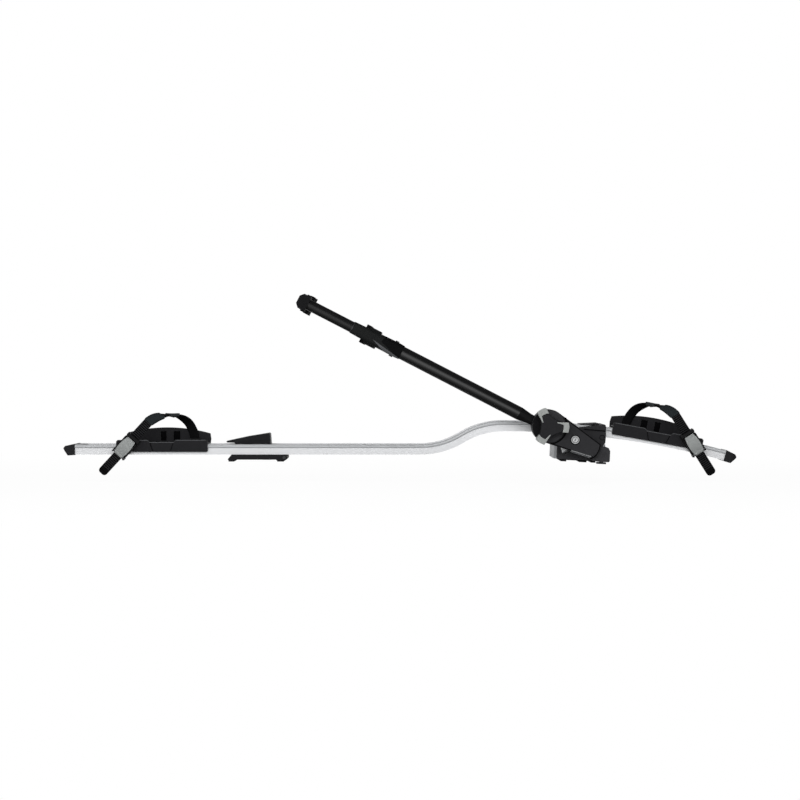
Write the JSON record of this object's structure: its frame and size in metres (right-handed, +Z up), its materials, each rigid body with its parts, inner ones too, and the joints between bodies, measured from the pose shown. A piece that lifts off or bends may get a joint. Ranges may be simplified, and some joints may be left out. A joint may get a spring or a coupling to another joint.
{
  "type": "roof mounted bike carrier",
  "caption": "Roof bike carrier: bent channel rail, strapped wheel holders that slide, cam-locked rear foot, lockable base and a folding arm whose knob closes the frame jaws.",
  "frame": {"origin": "middle of the sole under the base, where it rests on the front roof bar", "axes": "+X along the rail to the front of the car, +Y across the rail away from the knob, +Z up"},
  "size_m": [1.443, 0.2507, 0.385],
  "materials": {
    "rail_aluminium": "satin extruded",
    "cap_plastic": "fine matt",
    "bracket_aluminium": "cast, blasted",
    "base_plastic": "fine grain",
    "holder_plastic": "fine grain",
    "buckle_plastic": "fine matt",
    "lever_silver": "silver paint",
    "grip_silver": "silver paint",
    "strap_plastic": "flexible, matt",
    "sleeve_rubber": "soft, matt",
    "pad_rubber": "soft, matt",
    "foot_plastic": "fine grain",
    "fork_plastic": "fine matt",
    "tube_paint": "black anodised",
    "jaw_plastic": "fine grain",
    "housing_plastic": "fine grain",
    "knob_plastic": "fine matt",
    "bush_plastic": "smooth",
    "zinc_steel": "zinc plated",
    "lock_metal": "nickel plated"
  },
  "bodies": {
    "carrier": {"rail": "rail_aluminium", "rear_cap": "cap_plastic", "front_cap": "cap_plastic", "rail_screws": "zinc_steel", "base_bracket": "bracket_aluminium", "base_cover": "base_plastic", "rail_saddle": "base_plastic", "saddle_plate": "base_plastic", "base_sole": "pad_rubber", "pivot_bushes": "bush_plastic", "front_t_bolt": "zinc_steel", "front_t_nut": "zinc_steel"},
    "rear_foot": {"rear_foot": "foot_plastic", "rear_foot_pads": "pad_rubber", "foot_rivet": "zinc_steel", "cam_seat": "zinc_steel"},
    "rear_bolt": {"rear_t_bolt": "zinc_steel", "cam_pin": "zinc_steel"},
    "rear_lever": {"cam_lever": "foot_plastic"},
    "arm": {"pivot_shaft": "zinc_steel", "arm_fork": "fork_plastic", "hub_cap": "fork_plastic", "arm_tube": "tube_paint", "lower_jaw": "jaw_plastic", "lower_jaw_pad": "pad_rubber", "jaw_screws": "zinc_steel", "tube_collar": "zinc_steel", "housing_plate": "bracket_aluminium", "housing_cover": "housing_plastic", "lock_ring": "lock_metal", "pull_cable": "zinc_steel"},
    "knob": {"knob": "knob_plastic", "knob_grips": "grip_silver", "knob_drum": "zinc_steel"},
    "lock": {"lock_plug": "lock_metal"},
    "upper_jaw": {"inner_tube": "tube_paint", "upper_jaw": "jaw_plastic", "upper_jaw_pad": "pad_rubber"},
    "rear_holder": {"rear_holder": "holder_plastic", "rear_tyre_pad": "pad_rubber", "rear_strap": "strap_plastic", "rear_clip": "buckle_plastic", "rear_sleeve": "sleeve_rubber", "rear_ladder": "strap_plastic", "rear_anchor": "holder_plastic", "rear_buckle_frame": "buckle_plastic", "rear_buckle_screw": "zinc_steel", "rear_buckle_pin": "zinc_steel"},
    "rear_buckle": {"rear_buckle_lever": "lever_silver"},
    "front_holder": {"front_holder": "holder_plastic", "front_tyre_pad": "pad_rubber", "front_strap": "strap_plastic", "front_clip": "buckle_plastic", "front_sleeve": "sleeve_rubber", "front_ladder": "strap_plastic", "front_anchor": "holder_plastic", "front_buckle_frame": "buckle_plastic", "front_buckle_screw": "zinc_steel", "front_buckle_pin": "zinc_steel"},
    "front_buckle": {"front_buckle_lever": "lever_silver"}
  },
  "joints": [
    {"name": "arm_fold", "type": "hinge", "parent": "carrier", "child": "arm", "pos_m": [-0.005, 0, 0.0412], "axis": [0, 1, 0], "range_deg": [-23.3, 50]},
    {"name": "knob_turn", "type": "hinge", "parent": "arm", "child": "knob", "pos_m": [-0.07698, -0.13, 0.07835], "axis": [0, -1, 0], "range_deg": [0, 716.2]},
    {"name": "jaw_close", "type": "slide", "parent": "arm", "child": "upper_jaw", "axis": [0.8886, 0, -0.4586], "range_m": [0, 0.1]},
    {"name": "lock_turn", "type": "hinge", "parent": "arm", "child": "lock", "pos_m": [-0.02188, -0.12, 0.04991], "axis": [0, 1, 0], "range_deg": [0, 90]},
    {"name": "rear_foot_slide", "type": "slide", "parent": "carrier", "child": "rear_foot", "axis": [1, 0, 0], "range_m": [-0.03, 0.06]},
    {"name": "rear_bolt_drop", "type": "slide", "parent": "rear_foot", "child": "rear_bolt", "axis": [0, 0, 1], "range_m": [-0.00298, 0]},
    {"name": "rear_lever_open", "type": "hinge", "parent": "rear_bolt", "child": "rear_lever", "pos_m": [-0.674, 0, 0.03144], "axis": [0, 1, 0], "range_deg": [0, 70]},
    {"name": "rear_holder_slide", "type": "slide", "parent": "carrier", "child": "rear_holder", "axis": [1, 0, 0], "range_m": [-0.06, 0.03]},
    {"name": "rear_buckle_open", "type": "hinge", "parent": "rear_holder", "child": "rear_buckle", "pos_m": [-0.98639, -0.0515, 0.01729], "axis": [0.7349, 0, -0.6782], "range_deg": [0, 80]},
    {"name": "front_holder_slide", "type": "hinge", "parent": "carrier", "child": "front_holder", "pos_m": [-0.16652, 0, -1.7431], "axis": [0, 1, 0], "range_deg": [-0.2, 1.2]},
    {"name": "front_buckle_open", "type": "hinge", "parent": "front_holder", "child": "front_buckle", "pos_m": [0.24821, -0.0515, 0.02141], "axis": [0.8453, 0, 0.5344], "range_deg": [0, 80]}
  ],
  "couplings": [
    {"joint": "jaw_close", "follows": "knob_turn", "m_per_rad": 0.008},
    {"joint": "rear_bolt_drop", "follows": "rear_lever_open", "m_per_rad": -0.0024413}
  ]
}
